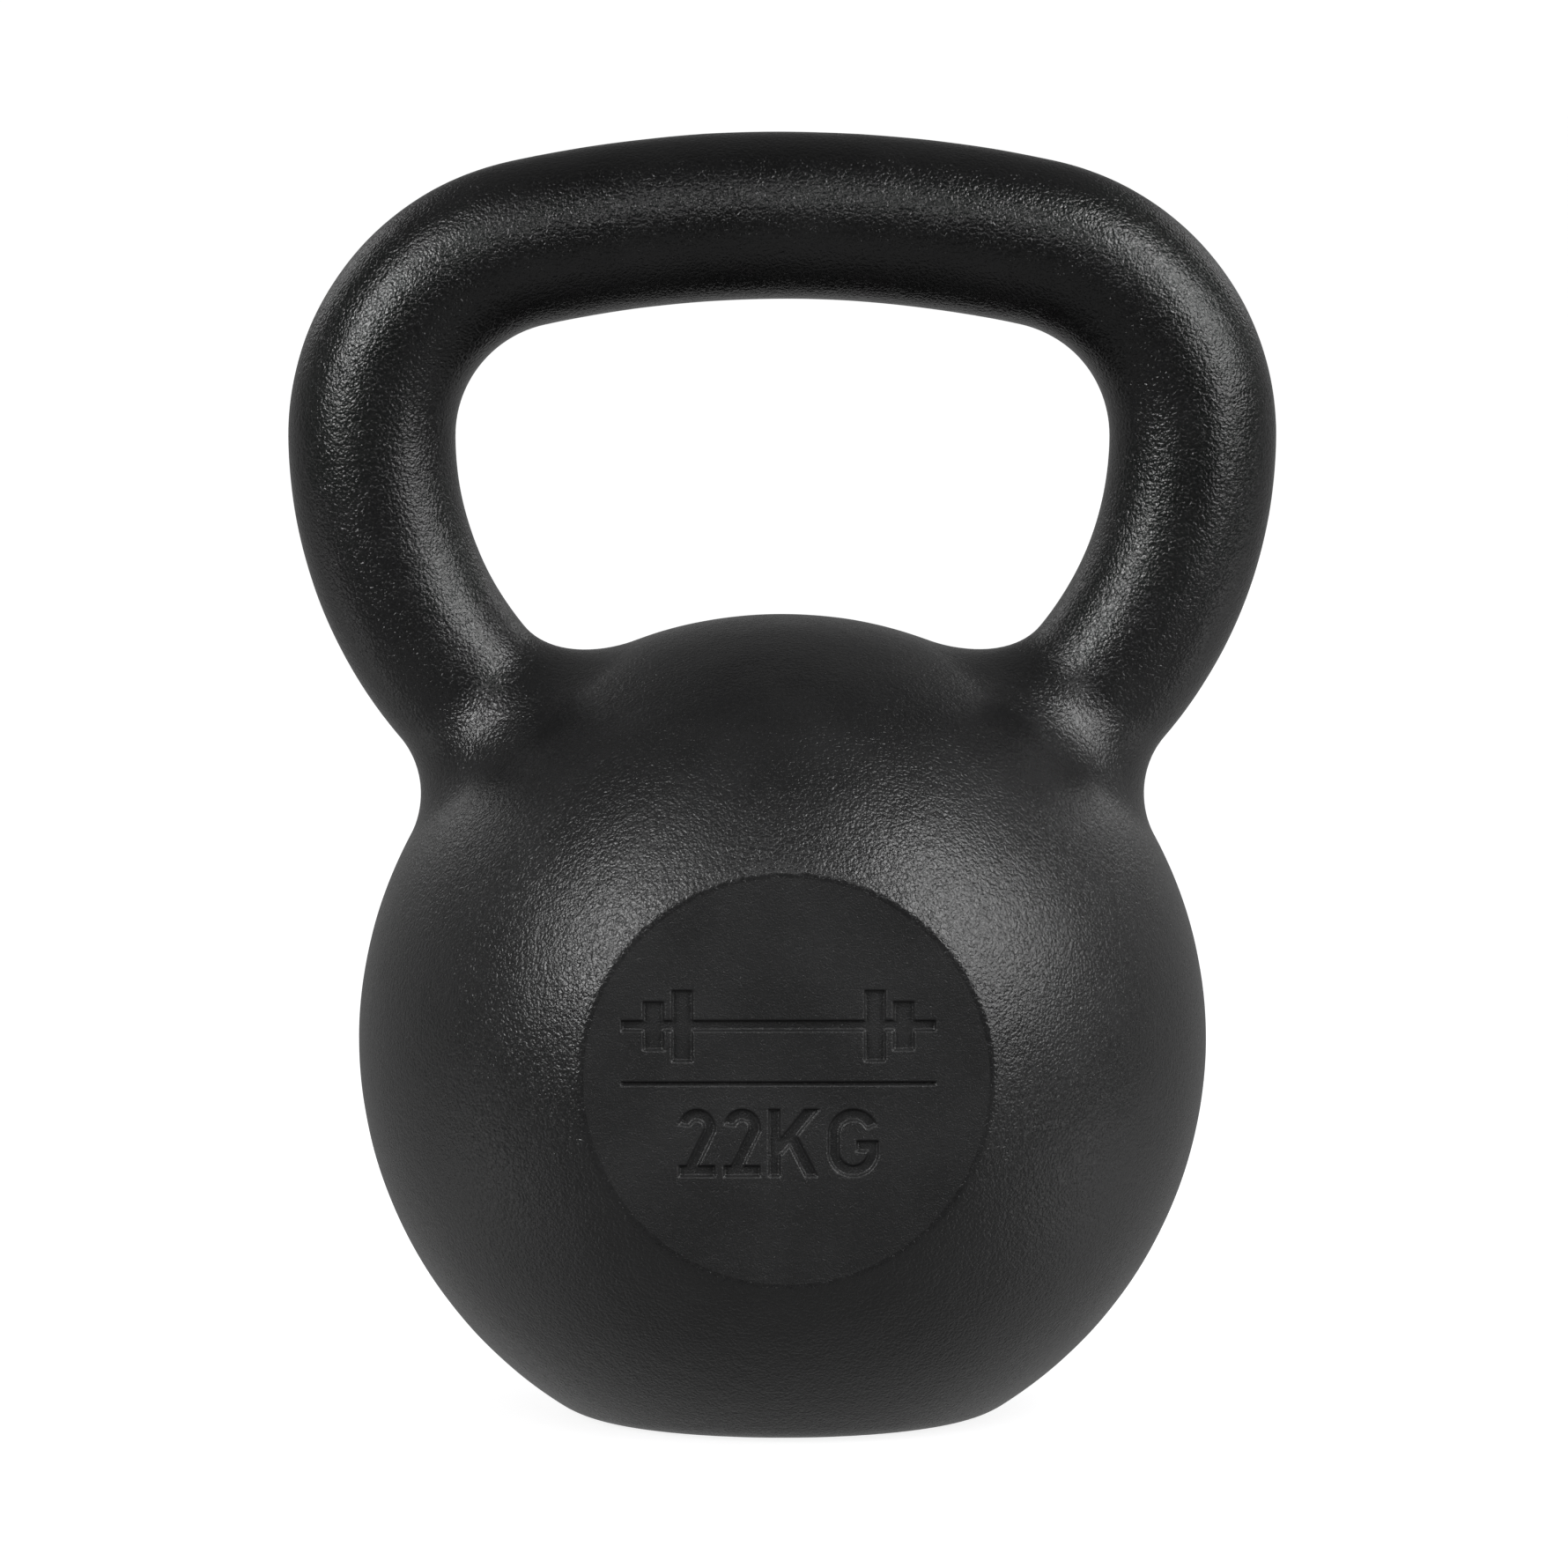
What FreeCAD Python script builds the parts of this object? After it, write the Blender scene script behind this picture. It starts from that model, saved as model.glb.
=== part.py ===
import FreeCAD, Part
import math
import os
import Sketcher
from FreeCAD import Vector

# Kettlebell: a solid iron casting under a powder coat. Millimetres, +Z up, and the front faces -Y.
# The origin is the middle of the flat base, on the axis of the ball.
# Sizes are those of the finished object, over the coat. The iron is the same shape, smaller all
# round by the thickness of the coat. Heights called a rise are measured from the ball's centre.
DIMENSIONS = {
    # ball
    "ball_radius": 87.8,
    "flank_radius": 90.0,
    "rim_radius": 17.4,
    "centre_height": 78.3,
    "foot_radius": 36.0,
    # flat faces, front and back
    "facet_distance": 77.1,
    "facet_edge_radius": 2.0,
    # handle: a round tube, arched on top, round at the corners and drawn in towards the ball
    "tube_radius": 17.25,
    "grip_rise": 170.5,
    "corner_radius": 40.7,
    "horn_spread": 84.8,
    "horn_rise": 125.0,
    "horn_radius": 79.1,
    "root_rise": 57.0,
    "root_fillet": 13.0,
    # where the horns begin, just above the top of the ball and its fillets
    "collar_rise": 92.5,
    "coat_thickness": 0.3,
    # sunk marks on the front face: heights from its middle, all of them shifted a little to -X
    "mark_depth": 1.0,
    "marks_shift": -1.6,
    "rule_length": 63.6,
    "rule_width": 0.9,
    "rule_drop": 0.7,
    "barbell_rise": 11.0,
    "barbell_length": 63.6,
    "barbell_bar_width": 2.4,
    "plate_width": 4.4,
    "plate_gap": 1.4,
    "large_plate_height": 14.6,
    "small_plate_height": 10.0,
    "letter_height": 13.9,
    "letter_stroke": 2.5,
    "letter_drop": 19.7,
    "digit_width": 7.6,
    "wide_letter_width": 10.4,
    "letter_gap": 1.5,
}

doc = FreeCAD.newDocument("kettlebell")
sheet = doc.addObject("Spreadsheet::Sheet", "dims")
for row, (alias, millimetres) in enumerate(DIMENSIONS.items(), start=1):
    sheet.set(f"A{row}", alias)
    sheet.set(f"B{row}", str(millimetres))
    sheet.setAlias(f"B{row}", alias)
doc.recompute()


def size(alias):
    """A driving dimension, as a number."""
    return float(sheet.get(alias))


def iron_or_finished(inset, alias):
    """The expression of a size that shrinks by the coat when it is the iron that is being made."""
    return f"dims.{alias} - dims.coat_thickness" if inset else f"dims.{alias}"


# ---------------------------------------------------------------- sketches

AXIS_V = -2


def origin_plane(body, role):
    return next(feature for feature in body.Origin.OriginFeatures if feature.Role == role)


def new_sketch(body, name, plane):
    """An empty sketch on one of the body's own origin planes."""
    sketch = body.newObject("Sketcher::SketchObject", name)
    sketch.AttachmentSupport = [(origin_plane(body, plane), "")]
    sketch.MapMode = "FlatFace"
    return sketch


def arc(x, y, radius, start, end):
    """An arc in a sketch's plane, anticlockwise between two angles in radians."""
    circle = Part.Circle(Vector(x, y, 0), Vector(0, 0, 1), radius)
    return Part.ArcOfCircle(circle, start, end)


def line(x1, y1, x2, y2):
    return Part.LineSegment(Vector(x1, y1, 0), Vector(x2, y2, 0))


def drive(sketch, name, expression, *constraint):
    """Adds a named constraint whose value follows the sheet."""
    index = sketch.addConstraint(Sketcher.Constraint(*constraint))
    sketch.renameConstraint(index, name)
    sketch.setExpression(f"Constraints.{name}", expression)


def ball_profile(body, inset):
    """Half of the ball's outline: round above, a little fuller below, rounded into a flat base."""
    shrink = size("coat_thickness") if inset else 0.0
    ball = size("ball_radius") - shrink
    flank = size("flank_radius") - shrink
    rim = size("rim_radius") - shrink
    centre = size("centre_height")
    rim_height = shrink + rim
    flank_x = ball - flank
    turn = math.asin((centre - rim_height) / (flank - rim))
    rim_x = flank_x + (flank - rim) * math.cos(turn)

    sketch = new_sketch(body, body.Name + "_profile", "YZ_Plane")
    sketch.addGeometry(arc(0, centre, ball, 0, math.pi / 2))
    sketch.addGeometry(arc(flank_x, centre, flank, -turn, 0))
    sketch.addGeometry(arc(rim_x, rim_height, rim, -math.pi / 2, -turn))
    sketch.addGeometry(line(rim_x, shrink, 0, shrink))
    sketch.addGeometry(line(0, shrink, 0, centre + ball))
    ball_arc, flank_arc, rim_arc, base, axis = range(5)
    sketch.addConstraint(
        [
            Sketcher.Constraint("Tangent", ball_arc, 1, flank_arc, 2),
            Sketcher.Constraint("Tangent", flank_arc, 1, rim_arc, 2),
            Sketcher.Constraint("Tangent", rim_arc, 1, base, 1),
            Sketcher.Constraint("Coincident", base, 2, axis, 1),
            Sketcher.Constraint("Coincident", axis, 2, ball_arc, 2),
            Sketcher.Constraint("PointOnObject", axis, 1, AXIS_V),
            Sketcher.Constraint("PointOnObject", axis, 2, AXIS_V),
            Sketcher.Constraint("PointOnObject", ball_arc, 3, AXIS_V),
            Sketcher.Constraint("Horizontal", base),
            Sketcher.Constraint("Horizontal", ball_arc, 3, ball_arc, 1),
        ]
    )
    drive(sketch, "ball", iron_or_finished(inset, "ball_radius"), "Radius", ball_arc, ball)
    drive(sketch, "flank", iron_or_finished(inset, "flank_radius"), "Radius", flank_arc, flank)
    drive(sketch, "rim", iron_or_finished(inset, "rim_radius"), "Radius", rim_arc, rim)
    drive(sketch, "centre", "dims.centre_height", "DistanceY", -1, 1, ball_arc, 3, centre)
    depth = iron_or_finished(inset, "centre_height")
    drive(sketch, "depth", depth, "DistanceY", base, 1, ball_arc, 3, centre - shrink)
    return sketch


def handle_path(body):
    """The handle's centreline, from the middle of the grip round one corner and into the ball."""
    top = size("centre_height") + size("grip_rise")
    widest = size("centre_height") + size("horn_rise")
    root = size("centre_height") + size("root_rise")
    spread = size("horn_spread")
    corner = size("corner_radius")
    horn = size("horn_radius")
    corner_x = spread - corner
    drop = top - widest
    arch = (corner**2 - corner_x**2 - drop**2) / (2 * (corner - drop))
    join = math.atan2(widest - (top - arch), corner_x)
    dive = math.asin((widest - root) / horn)

    sketch = new_sketch(body, body.Name + "_path", "XZ_Plane")
    sketch.addGeometry(arc(0, top - arch, arch, join, math.pi / 2))
    sketch.addGeometry(arc(corner_x, widest, corner, 0, join))
    sketch.addGeometry(arc(spread - horn, widest, horn, -dive, 0))
    arch_arc, corner_arc, horn_arc = range(3)
    sketch.addConstraint(
        [
            Sketcher.Constraint("PointOnObject", arch_arc, 3, AXIS_V),
            Sketcher.Constraint("PointOnObject", arch_arc, 2, AXIS_V),
            Sketcher.Constraint("Tangent", arch_arc, 1, corner_arc, 2),
            Sketcher.Constraint("Tangent", corner_arc, 1, horn_arc, 2),
            Sketcher.Constraint("Horizontal", corner_arc, 3, corner_arc, 1),
        ]
    )
    drive(sketch, "corner", "dims.corner_radius", "Radius", corner_arc, corner)
    drive(sketch, "horn", "dims.horn_radius", "Radius", horn_arc, horn)
    drive(sketch, "spread", "dims.horn_spread", "DistanceX", -1, 1, corner_arc, 1, spread)
    height = "dims.centre_height + dims.horn_rise"
    drive(sketch, "widest", height, "DistanceY", -1, 1, corner_arc, 1, widest)
    drive(sketch, "top", "dims.centre_height + dims.grip_rise", "DistanceY", -1, 1, arch_arc, 2, top)
    drive(sketch, "root", "dims.centre_height + dims.root_rise", "DistanceY", -1, 1, horn_arc, 1, root)
    return sketch


def circle_sketch(body, name, plane, height, radius):
    """A circle at a height on the sketch's vertical axis, or at its origin if height is None."""
    sketch = new_sketch(body, name, plane)
    sketch.addGeometry(Part.Circle(Vector(0, 0, 0), Vector(0, 0, 1), 1.0))
    if height is None:
        sketch.addConstraint(Sketcher.Constraint("Coincident", 0, 3, -1, 1))
    else:
        sketch.addConstraint(Sketcher.Constraint("PointOnObject", 0, 3, AXIS_V))
        drive(sketch, "height", height, "DistanceY", -1, 1, 0, 3, 1.0)
    drive(sketch, "radius", radius, "Radius", 0, 1.0)
    return sketch


# ---------------------------------------------------------------- the casting's shape


def root_edges(shape):
    """The edges where the handle meets the round top of the ball."""
    above = size("centre_height") + size("tube_radius")
    found = []
    for index, edge in enumerate(shape.Edges, start=1):
        faces = shape.ancestorsOfType(edge, Part.Face)
        round_faces = [face for face in faces if isinstance(face.Surface, Part.Sphere)]
        if edge.BoundBox.ZMin > above and len(faces) == 2 and len(round_faces) == 1:
            found.append(f"Edge{index}")
    return found


def facet_edges(shape):
    """The rims of the two upright flat faces."""
    found = []
    for index, edge in enumerate(shape.Edges, start=1):
        for face in shape.ancestorsOfType(edge, Part.Face):
            flat = isinstance(face.Surface, Part.Plane)
            if flat and abs(face.Surface.Axis.y) > 0.99:
                found.append(f"Edge{index}")
    return found


def round_off(body, name, base, edges, expression):
    """A fillet whose radius follows the sheet."""
    fillet = body.newObject("PartDesign::Fillet", name)
    fillet.Base = (base, edges)
    fillet.setExpression("Radius", expression)
    doc.recompute()
    return fillet


def cut_facet(body, inset, side):
    """Cuts the ball to a flat upright face, in front (side -1) or behind (side 1)."""
    distance = iron_or_finished(inset, "facet_distance")
    end = "back" if side > 0 else "front"
    box = body.newObject("PartDesign::SubtractiveBox", f"{body.Name}_{end}_facet")
    box.setExpression("Length", "2 * dims.ball_radius")
    box.setExpression("Width", "dims.ball_radius")
    box.setExpression("Height", "dims.centre_height + dims.ball_radius")
    box.setExpression("Placement.Base.x", "-dims.ball_radius")
    near = distance if side > 0 else f"-({distance}) - dims.ball_radius"
    box.setExpression("Placement.Base.y", near)
    doc.recompute()
    return box


def kettlebell_body(name, inset):
    """The whole outline as one body: the finished surface, or the iron that lies under the coat."""
    body = doc.addObject("PartDesign::Body", name)
    profile = ball_profile(body, inset)
    ball = body.newObject("PartDesign::Revolution", name + "_ball")
    ball.Profile = profile
    ball.ReferenceAxis = (profile, ["V_Axis"])
    ball.Angle = 360

    path = handle_path(body)
    top = "dims.centre_height + dims.grip_rise"
    tube_radius = iron_or_finished(inset, "tube_radius")
    section = circle_sketch(body, name + "_section", "YZ_Plane", top, tube_radius)
    tube = body.newObject("PartDesign::AdditivePipe", name + "_tube")
    tube.Profile = section
    tube.Spine = (path, ["Edge1", "Edge2", "Edge3"])
    mirror = body.newObject("PartDesign::Mirrored", name + "_mirror")
    mirror.Originals = [tube]
    mirror.MirrorPlane = (origin_plane(body, "YZ_Plane"), [""])
    body.Tip = mirror
    doc.recompute()

    coat = " + dims.coat_thickness" if inset else ""
    edges = root_edges(mirror.Shape)
    round_off(body, name + "_roots", mirror, edges, "dims.root_fillet" + coat)
    for side in (-1, 1):
        facets = cut_facet(body, inset, side)
    edges = facet_edges(facets.Shape)
    round_off(
        body, name + "_facet_edges", facets, edges, iron_or_finished(inset, "facet_edge_radius")
    )
    return body


def add_foot(body):
    """The ground base: bare iron that comes down through the coat to the floor."""
    sketch = circle_sketch(body, "foot", "XY_Plane", None, "dims.foot_radius")
    foot = body.newObject("PartDesign::Pad", "foot_pad")
    foot.Profile = sketch
    foot.setExpression("Length", "2 * dims.coat_thickness")
    doc.recompute()


# ---------------------------------------------------------------- the sunk marks

# Strokes are flat faces in the XZ plane, with x across the face and z up from its middle. The
# value grow widens a stroke all round: the iron's marks are wider than the finished ones by the
# coat, which lines them.


def flat_face(points):
    corners = [Vector(x, 0, z) for x, z in points]
    return Part.Face(Part.makePolygon(corners + corners[:1]))


def bar(x1, z1, x2, z2, width, grow):
    """A straight stroke with square ends."""
    length = math.hypot(x2 - x1, z2 - z1)
    along = ((x2 - x1) / length, (z2 - z1) / length)
    half = width / 2 + grow
    ends = ((x1, z1, -grow), (x2, z2, grow))
    sides = []
    for x, z, over in ends:
        x += along[0] * over
        z += along[1] * over
        sides.append([(x - side * half * along[1], z + side * half * along[0]) for side in (-1, 1)])
    return flat_face([sides[0][0], sides[1][0], sides[1][1], sides[0][1]])


def slant(x1, z1, x2, z2, width, grow):
    """A sloping stroke from (x1, z1) up to (x2, z2), cut level at both ends."""
    lean = (x2 - x1) / (z2 - z1)
    half = (width / 2 + grow) * math.hypot(1, lean)
    low = x1 - lean * grow
    high = x2 + lean * grow
    bottom = z1 - grow
    top = z2 + grow
    return flat_face([(low - half, bottom), (low + half, bottom), (high + half, top), (high - half, top)])


def bow(x, z, radius, start, end, width, grow):
    """A round stroke about (x, z), anticlockwise between two angles in degrees."""
    over = math.degrees(grow / radius)
    start = math.radians(start - over)
    end = math.radians(end + over)
    middle = (start + end) / 2

    def point(distance, angle):
        return Vector(x + distance * math.cos(angle), 0, z + distance * math.sin(angle))

    inner = radius - width / 2 - grow
    outer = radius + width / 2 + grow
    far = Part.Arc(point(outer, start), point(outer, middle), point(outer, end))
    near = Part.Arc(point(inner, end), point(inner, middle), point(inner, start))
    edges = [
        far.toShape(),
        Part.makeLine(point(outer, end), point(inner, end)),
        near.toShape(),
        Part.makeLine(point(inner, start), point(outer, start)),
    ]
    return Part.Face(Part.Wire(edges))


def digit_two(left, grow):
    """A round top, a diagonal that leaves it at a tangent, and a level foot."""
    stroke = size("letter_stroke")
    width = size("digit_width")
    foot = -size("letter_drop")
    radius = (width - stroke) / 2
    x = left + width / 2
    z = foot + size("letter_height") - stroke / 2 - radius
    heel_x = left + 0.7 * stroke
    reach = math.hypot(x - heel_x, z - foot)
    climb = math.atan2(z - foot, x - heel_x) - math.asin(radius / reach)
    run = math.sqrt(reach**2 - radius**2)
    leave_x = heel_x + run * math.cos(climb)
    leave_z = foot + run * math.sin(climb)
    return [
        bow(x, z, radius, math.degrees(climb) - 90, 172, stroke, grow),
        slant(heel_x, foot, leave_x, leave_z, stroke, grow),
        bar(left, foot + stroke / 2, left + width, foot + stroke / 2, stroke, grow),
    ]


def letter_k(left, grow):
    """An upright, an arm that rises from it and a leg that leaves the arm."""
    stroke = size("letter_stroke")
    width = size("wide_letter_width")
    foot = -size("letter_drop")
    height = size("letter_height")
    stem = left + stroke / 2
    toe = left + width - 0.65 * stroke
    return [
        bar(stem, foot, stem, foot + height, stroke, grow),
        slant(stem, foot + 0.33 * height, toe, foot + height, stroke, grow),
        slant(toe, foot, left + 0.42 * width, foot + 0.62 * height, stroke, grow),
    ]


def letter_g(left, grow):
    """A tall round letter, open on the right above a level crossbar."""
    stroke = size("letter_stroke")
    width = size("wide_letter_width")
    foot = -size("letter_drop")
    radius = (width - stroke) / 2
    x = left + width / 2
    low = foot + stroke / 2 + radius
    high = foot + size("letter_height") - stroke / 2 - radius
    crossbar = foot + 0.45 * size("letter_height")
    return [
        bow(x, high, radius, 22, 180, stroke, grow),
        bow(x, low, radius, 180, 360, stroke, grow),
        bar(x - radius, low, x - radius, high, stroke, grow),
        bar(x + radius, low, x + radius, crossbar + stroke / 2, stroke, grow),
        bar(x + 0.05 * width, crossbar, x + width / 2, crossbar, stroke, grow),
    ]


def weight_mark(grow):
    """The weight, 22 KG, centred below the rule."""
    digit = size("digit_width")
    letter = size("wide_letter_width")
    gap = size("letter_gap")
    left = -(2 * digit + 2 * letter + 3 * gap) / 2
    strokes = digit_two(left, grow)
    strokes += digit_two(left + digit + gap, grow)
    strokes += letter_k(left + 2 * (digit + gap), grow)
    strokes += letter_g(left + 2 * (digit + gap) + letter + gap, grow)
    return strokes


def barbell_mark(grow):
    """A plain barbell, above the rule: a bar with a small and a large plate at each end."""
    rise = size("barbell_rise")
    half = size("barbell_length") / 2
    plate = size("plate_width")
    gap = size("plate_gap")
    strokes = [bar(-half, rise, half, rise, size("barbell_bar_width"), grow)]
    small = half - 1.5 * plate
    large = small - plate - gap
    for x, alias in ((small, "small_plate_height"), (large, "large_plate_height")):
        reach = size(alias) / 2
        for side in (-1, 1):
            strokes.append(bar(side * x, rise - reach, side * x, rise + reach, plate, grow))
    return strokes


def marks_cutter(name, inset):
    """Everything that is sunk into the front face, as one solid to cut with."""
    grow = size("coat_thickness") if inset else 0.0
    half = size("rule_length") / 2
    drop = -size("rule_drop")
    rule = bar(-half, drop, half, drop, size("rule_width"), grow)
    strokes = [rule] + barbell_mark(grow) + weight_mark(grow)
    outline = strokes[0].multiFuse(strokes[1:]).removeSplitter()
    cutter = doc.addObject("Part::Feature", name)
    clearance = size("mark_depth")
    cutter.Shape = outline.extrude(Vector(0, size("mark_depth") + clearance, 0))
    face = -size("facet_distance") + grow
    cutter.Placement.Base = Vector(size("marks_shift"), face - clearance, size("centre_height"))
    return cutter


# ---------------------------------------------------------------- the sub-parts


def cut(name, base, tool):
    result = doc.addObject("Part::Cut", name)
    result.Base = base
    result.Tool = tool
    return result


def region(name, low, high, side):
    """A box round one region of the casting, between two heights, on one side of X or on both."""
    box = doc.addObject("Part::Box", name)
    reach = "2 * dims.ball_radius"
    box.setExpression("Length", reach if side else f"2 * ({reach})")
    box.setExpression("Width", f"2 * ({reach})")
    box.setExpression("Height", f"({high}) - ({low})")
    box.setExpression("Placement.Base.x", "0" if side > 0 else f"-({reach})")
    box.setExpression("Placement.Base.y", f"-({reach})")
    box.setExpression("Placement.Base.z", low)
    return box


def casting_region(label, casting, low, high, side):
    piece = doc.addObject("Part::Common", label)
    piece.Base = casting
    piece.Tool = region(label + "_region", low, high, side)
    return piece


finished_body = kettlebell_body("finished", False)
iron_body = kettlebell_body("iron", True)
add_foot(iron_body)
finished = cut("finished_marked", finished_body, marks_cutter("finished_marks", False))
casting = cut("casting", iron_body, marks_cutter("iron_marks", True))

FLOOR = "0"
COLLAR = "dims.centre_height + dims.collar_rise"
WIDEST = "dims.centre_height + dims.horn_rise"
TOP = "dims.centre_height + dims.grip_rise + 2 * dims.tube_radius"

# The casting is one pour. Its pieces meet face to face on level planes: the bell with the roots of
# the handle, a horn on each side, and the grip with its two corners above the widest points.
# Left is -X, as seen from the front.
sub_parts = [
    casting_region("bell", casting, FLOOR, COLLAR, 0),
    casting_region("horn_left", casting, COLLAR, WIDEST, -1),
    casting_region("horn_right", casting, COLLAR, WIDEST, 1),
    casting_region("grip", casting, WIDEST, TOP, 0),
    cut("powder_coat", finished, casting),
]
doc.recompute()

# ---------------------------------------------------------------- checks and files

for item in doc.Objects:
    if "Invalid" in item.State or "Error" in item.State:
        raise RuntimeError(f"{item.Name} is {item.State}")
for part in sub_parts:
    if part.Shape.isNull() or not part.Shape.isValid():
        raise RuntimeError(f"{part.Label} has no valid shape")

os.makedirs("parts", exist_ok=True)
for part in sub_parts:
    part.Shape.exportStep(f"parts/{part.Label}.step")
    print(f"{part.Label}: {part.Shape.Volume / 1000:.1f} cm3, solids {len(part.Shape.Solids)}")
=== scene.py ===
import math

import bmesh
import bpy
import numpy as np
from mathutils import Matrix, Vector, noise
from mathutils.geometry import delaunay_2d_cdt


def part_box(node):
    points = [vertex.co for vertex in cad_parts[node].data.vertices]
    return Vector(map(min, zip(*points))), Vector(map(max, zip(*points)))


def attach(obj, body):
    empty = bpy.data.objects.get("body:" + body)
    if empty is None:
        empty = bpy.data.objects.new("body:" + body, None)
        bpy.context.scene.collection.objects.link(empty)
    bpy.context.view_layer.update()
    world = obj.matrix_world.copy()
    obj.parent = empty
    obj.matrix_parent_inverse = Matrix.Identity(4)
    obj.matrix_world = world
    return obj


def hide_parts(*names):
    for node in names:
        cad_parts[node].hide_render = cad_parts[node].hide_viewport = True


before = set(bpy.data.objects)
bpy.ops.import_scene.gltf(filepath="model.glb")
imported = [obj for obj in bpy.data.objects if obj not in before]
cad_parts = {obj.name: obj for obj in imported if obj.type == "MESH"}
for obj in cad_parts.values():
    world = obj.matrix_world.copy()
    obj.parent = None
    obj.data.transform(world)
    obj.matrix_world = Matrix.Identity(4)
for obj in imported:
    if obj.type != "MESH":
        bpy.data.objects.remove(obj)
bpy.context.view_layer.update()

# Metres, in the frame of the CAD model: the origin is the middle of the flat base, +Z is up and
# the front faces -Y. Sizes that a box of the frame shows are read from it.
coat_low, coat_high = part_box("powder_coat")
grip_low, grip_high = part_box("grip")
COAT = coat_high.z - grip_high.z
TUBE_RADIUS = grip_high.y + COAT
GRIP_HEIGHT = coat_high.z - TUBE_RADIUS
WIDEST_HEIGHT = grip_low.z
HORN_SPREAD = coat_high.x - TUBE_RADIUS
FACET = coat_high.y
# The rest repeats the design's own dimensions.
BALL_RADIUS = 0.0878
FLANK_RADIUS = 0.0900
RIM_RADIUS = 0.0174
CENTRE_HEIGHT = 0.0783
FOOT_RADIUS = 0.0360
CORNER_RADIUS = 0.0407
HORN_RADIUS = 0.0791
ROOT_FILLET = 0.0130

# Sizes of the meshes' cells: the skin, the marked part of the front face, and the plain flats.
CELL = 0.0015
FACE_CELL = 0.00025
PLAIN_CELL = 0.0030
# A length too small to matter
TINY = 1e-6


# ---------------------------------------------------------------- the shape as distances


def circle_distance(across, up, centre, radius):
    """Signed distance to a circle, negative inside it."""
    return np.hypot(across - centre[0], up - centre[1]) - radius


FLANK_CENTRE = (BALL_RADIUS - FLANK_RADIUS, CENTRE_HEIGHT)
FLANK_TURN = math.asin((CENTRE_HEIGHT - RIM_RADIUS) / (FLANK_RADIUS - RIM_RADIUS))
RIM_CENTRE = (
    FLANK_CENTRE[0] + (FLANK_RADIUS - RIM_RADIUS) * math.cos(FLANK_TURN),
    RIM_RADIUS,
)


def ball_distance(x, y, z):
    """Signed distance to the ball: a sphere above, fuller below, rounded into the flat base."""
    out = np.hypot(x, y)
    sphere = circle_distance(out, z, (0.0, CENTRE_HEIGHT), BALL_RADIUS)
    flank = circle_distance(out, z, FLANK_CENTRE, FLANK_RADIUS)
    rim = circle_distance(out, z, RIM_CENTRE, RIM_RADIUS)
    beyond_rim = out > RIM_CENTRE[0]
    drop = (RIM_CENTRE[1] - z) * math.cos(FLANK_TURN)
    steep = (out - RIM_CENTRE[0]) * math.sin(FLANK_TURN) < drop
    side = np.where(z > CENTRE_HEIGHT, sphere, flank)
    side = np.where(beyond_rim & steep, rim, side)
    return np.where(beyond_rim, side, np.maximum(side, -z))


CORNER_CENTRE = (HORN_SPREAD - CORNER_RADIUS, WIDEST_HEIGHT)
HORN_CENTRE = (HORN_SPREAD - HORN_RADIUS, WIDEST_HEIGHT)
GRIP_DROP = GRIP_HEIGHT - WIDEST_HEIGHT
ARCH_RADIUS = (CORNER_RADIUS**2 - CORNER_CENTRE[0] ** 2 - GRIP_DROP**2) / (
    2 * (CORNER_RADIUS - GRIP_DROP)
)
ARCH_CENTRE = (0.0, GRIP_HEIGHT - ARCH_RADIUS)
ARCH_END = math.atan2(CORNER_CENTRE[1] - ARCH_CENTRE[1], CORNER_CENTRE[0])


def handle_distance(x, y, z):
    """Signed distance to the round bar, whose centreline is three tangent arcs on each side."""
    side = np.abs(x)
    arch = circle_distance(side, z, ARCH_CENTRE, ARCH_RADIUS)
    corner = circle_distance(side, z, CORNER_CENTRE, CORNER_RADIUS)
    horn = circle_distance(side, z, HORN_CENTRE, HORN_RADIUS)
    over_arch = np.arctan2(z - ARCH_CENTRE[1], side) > ARCH_END
    off_line = np.where(z < WIDEST_HEIGHT, horn, np.where(over_arch, arch, corner))
    return np.hypot(off_line, y) - TUBE_RADIUS


def casting_distance(x, y, z):
    """Ball and handle, joined by a round fillet."""
    ball = ball_distance(x, y, z)
    handle = handle_distance(x, y, z)
    near = np.hypot(np.maximum(ROOT_FILLET - ball, 0), np.maximum(ROOT_FILLET - handle, 0))
    return np.maximum(ROOT_FILLET, np.minimum(ball, handle)) - near


def gradient(distance, points, step=1e-5):
    """Unit direction of the fastest growth of a distance function at each point."""
    slopes = []
    for axis in range(3):
        shift = np.zeros(3)
        shift[axis] = step
        slopes.append(distance(*(points + shift).T) - distance(*(points - shift).T))
    slope = np.stack(slopes, axis=1)
    return slope / np.maximum(np.linalg.norm(slope, axis=1, keepdims=True), 1e-12)


def settle(distance, points, rounds=3):
    """Moves points onto the surface where the distance is zero."""
    for _ in range(rounds):
        points = points - distance(*points.T)[:, None] * gradient(distance, points)
    return points


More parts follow.
